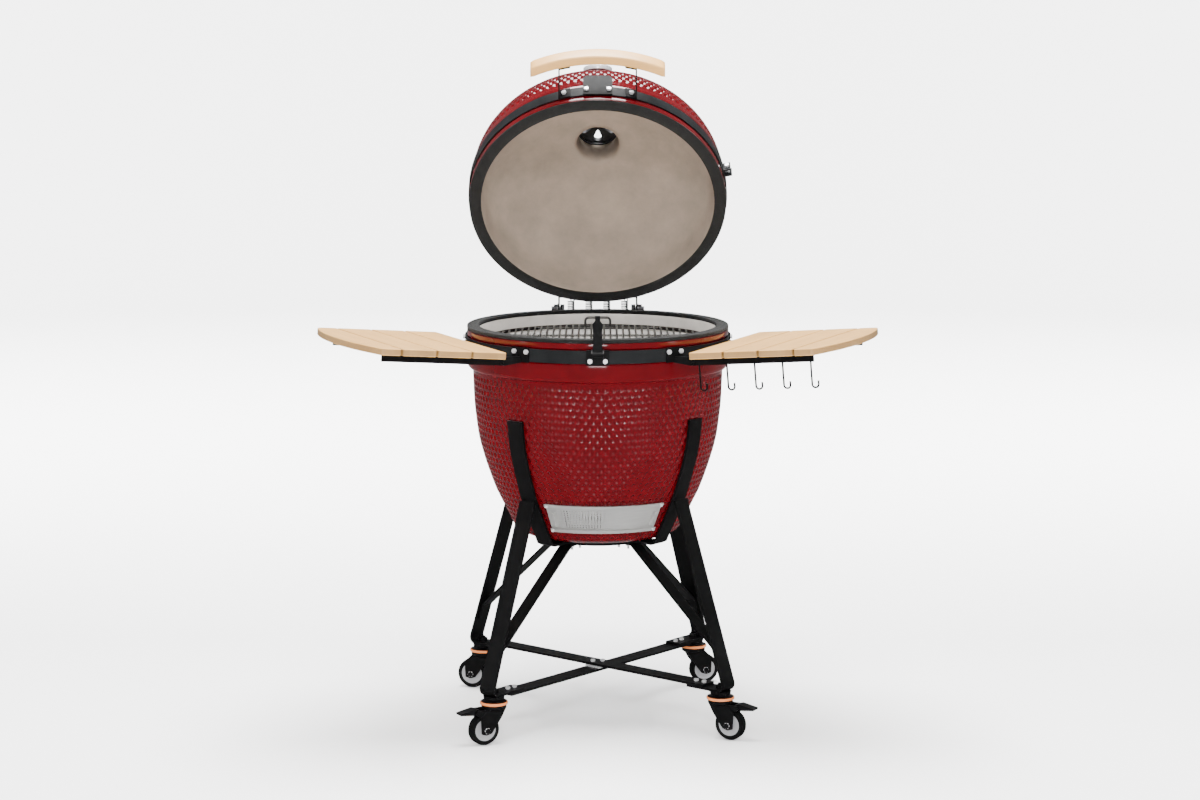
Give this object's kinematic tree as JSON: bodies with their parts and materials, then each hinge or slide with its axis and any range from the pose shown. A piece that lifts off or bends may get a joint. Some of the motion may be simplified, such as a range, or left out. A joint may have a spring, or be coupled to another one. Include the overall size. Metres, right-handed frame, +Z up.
{
  "type": "kamado charcoal grill",
  "caption": "Egg-shaped ceramic charcoal grill with a hinged open lid, draft door and vent, on a wheeled flat-bar stand with folding bamboo side shelves.",
  "frame": {"origin": "on the floor, below the upright axis of the bowl", "axes": "+Z up, front with the draft door and latch towards -Y, lid hinge along X at the back"},
  "size_m": [1.3614, 0.942, 1.6444],
  "materials": {
    "glazed_shell": "gloss red glaze over a dimpled shell",
    "fire_clay": "matte unglazed fire clay",
    "felt_gasket": "dense grey felt",
    "steel_band": "satin black",
    "black_frame": "satin black powder coat",
    "stainless_sheet": "brushed",
    "stainless_wire": "drawn wire",
    "bright_bolts": "bright zinc",
    "spring_steel": "drawn wire",
    "cast_iron_part": "matte black",
    "thermometer_case": "brushed bezel with a pale dial",
    "bamboo": "clear matte lacquer",
    "caster_tyre": "matte",
    "caster_hub": "satin grey",
    "caster_fork": "satin black"
  },
  "bodies": {
    "base": {"bowl": "glazed_shell", "base_band": "steel_band", "base_gasket": "felt_gasket", "fire_box": "fire_clay", "fire_box_panels": "fire_clay", "fire_ring": "fire_clay", "charcoal_grate": "cast_iron_part", "draft_frame": "stainless_sheet", "base_bolts": "bright_bolts", "hinge_base": "black_frame", "hinge_pivots": "bright_bolts", "hinge_springs": "spring_steel", "latch_base": "black_frame", "shelf_brackets": "black_frame", "cradle_arms": "black_frame", "struts": "black_frame", "centre_plate": "black_frame", "braces": "black_frame", "frame_bolts": "bright_bolts", "caster_stems": "bright_bolts", "leg_front_left": "black_frame", "leg_front_right": "black_frame", "leg_back_right": "black_frame", "leg_back_left": "black_frame"},
    "lid": {"lid": "glazed_shell", "lid_gasket": "felt_gasket", "lid_band": "steel_band", "lid_bolts": "bright_bolts", "lid_hinge": "black_frame", "handle": "bamboo", "handle_brackets": "black_frame", "catch_plate": "black_frame", "thermometer": "thermometer_case", "vent_collar": "cast_iron_part"},
    "vent_cap": {"vent_cap": "cast_iron_part"},
    "daisy_wheel": {"daisy_wheel": "cast_iron_part"},
    "cooking_grate": {"cooking_grate": "stainless_wire", "grate_handles": "stainless_wire"},
    "draft_screen": {"draft_screen": "stainless_sheet"},
    "draft_door": {"draft_door": "stainless_sheet"},
    "latch_lever": {"latch_lever": "black_frame"},
    "left_shelf": {"left_shelf_slats": "bamboo", "left_shelf_arms": "black_frame"},
    "right_shelf": {"right_shelf_slats": "bamboo", "right_shelf_arms": "black_frame", "tool_hooks": "black_frame"},
    "caster_front_left": {"fork_front_left": "caster_fork"},
    "wheel_front_left": {"tyre_front_left": "caster_tyre", "hub_front_left": "caster_hub"},
    "caster_front_right": {"fork_front_right": "caster_fork"},
    "wheel_front_right": {"tyre_front_right": "caster_tyre", "hub_front_right": "caster_hub"},
    "caster_back_right": {"fork_back_right": "caster_fork"},
    "wheel_back_right": {"tyre_back_right": "caster_tyre", "hub_back_right": "caster_hub"},
    "caster_back_left": {"fork_back_left": "caster_fork"},
    "wheel_back_left": {"tyre_back_left": "caster_tyre", "hub_back_left": "caster_hub"},
    "pedal_front_left": {"brake_pedal_front_left": "caster_fork"},
    "pedal_front_right": {"brake_pedal_front_right": "caster_fork"}
  },
  "joints": [
    {"name": "lid_hinge", "type": "hinge", "parent": "base", "child": "lid", "pos_m": [0, 0.34, 0.975], "axis": [-1, 0, 0], "range_deg": [-55.66, 0], "stiffness_Nm_per_rad": 60, "springref_deg": 42.97, "deforming": ["hinge_springs"]},
    {"name": "vent_cap_swing", "type": "hinge", "parent": "lid", "child": "vent_cap", "pos_m": [0, 0.45665, 1.37684], "axis": [0, 0.8257, 0.5641], "range_deg": [0, 85]},
    {"name": "daisy_wheel_turn", "type": "hinge", "parent": "vent_cap", "child": "daisy_wheel", "pos_m": [0, 0.42069, 1.44189], "axis": [0, 0.8257, 0.5641], "range_deg": [-36, 36]},
    {"name": "grate_lift", "type": "slide", "parent": "base", "child": "cooking_grate", "axis": [0, 0, 1], "range_m": [0, 0.3]},
    {"name": "draft_screen_slide", "type": "hinge", "parent": "base", "child": "draft_screen", "pos_m": [0, 0, 0.531], "axis": [0, 0, 1], "range_deg": [0, 27]},
    {"name": "draft_door_slide", "type": "hinge", "parent": "base", "child": "draft_door", "pos_m": [0, 0, 0.531], "axis": [0, 0, 1], "range_deg": [-27, 0]},
    {"name": "latch_swing", "type": "hinge", "parent": "base", "child": "latch_lever", "pos_m": [0, -0.336, 0.943], "axis": [1, 0, 0], "range_deg": [0, 75]},
    {"name": "left_shelf_fold", "type": "hinge", "parent": "base", "child": "left_shelf", "pos_m": [-0.29183, -0.13608, 0.921], "axis": [0.4226, -0.9063, 0], "range_deg": [0, 85]},
    {"name": "right_shelf_fold", "type": "hinge", "parent": "base", "child": "right_shelf", "pos_m": [0.29183, -0.13608, 0.921], "axis": [0.4226, 0.9063, 0], "range_deg": [0, 64]},
    {"name": "swivel_front_left", "type": "hinge", "parent": "base", "child": "caster_front_left", "pos_m": [-0.24812, -0.29569, 0.09], "axis": [0, 0, 1], "continuous": true},
    {"name": "roll_front_left", "type": "hinge", "parent": "caster_front_left", "child": "wheel_front_left", "pos_m": [-0.27261, -0.30927, 0.0375], "axis": [0.4848, -0.8746, 0], "continuous": true},
    {"name": "brake_front_left", "type": "hinge", "parent": "caster_front_left", "child": "pedal_front_left", "pos_m": [-0.29185, -0.31993, 0.082], "axis": [0.4848, -0.8746, 0], "range_deg": [0, 12]},
    {"name": "swivel_front_right", "type": "hinge", "parent": "base", "child": "caster_front_right", "pos_m": [0.29569, -0.24812, 0.09], "axis": [0, 0, 1], "continuous": true},
    {"name": "roll_front_right", "type": "hinge", "parent": "caster_front_right", "child": "wheel_front_right", "pos_m": [0.32018, -0.26169, 0.0375], "axis": [0.4848, 0.8746, 0], "continuous": true},
    {"name": "brake_front_right", "type": "hinge", "parent": "caster_front_right", "child": "pedal_front_right", "pos_m": [0.33942, -0.27236, 0.082], "axis": [0.4848, 0.8746, 0], "range_deg": [0, 12]},
    {"name": "swivel_back_right", "type": "hinge", "parent": "base", "child": "caster_back_right", "pos_m": [0.24812, 0.29569, 0.09], "axis": [0, 0, 1], "continuous": true},
    {"name": "roll_back_right", "type": "hinge", "parent": "caster_back_right", "child": "wheel_back_right", "pos_m": [0.27516, 0.30294, 0.0375], "axis": [-0.2588, 0.9659, 0], "continuous": true},
    {"name": "swivel_back_left", "type": "hinge", "parent": "base", "child": "caster_back_left", "pos_m": [-0.29569, 0.24812, 0.09], "axis": [0, 0, 1], "continuous": true},
    {"name": "roll_back_left", "type": "hinge", "parent": "caster_back_left", "child": "wheel_back_left", "pos_m": [-0.32274, 0.25536, 0.0375], "axis": [-0.2588, -0.9659, 0], "continuous": true}
  ]
}
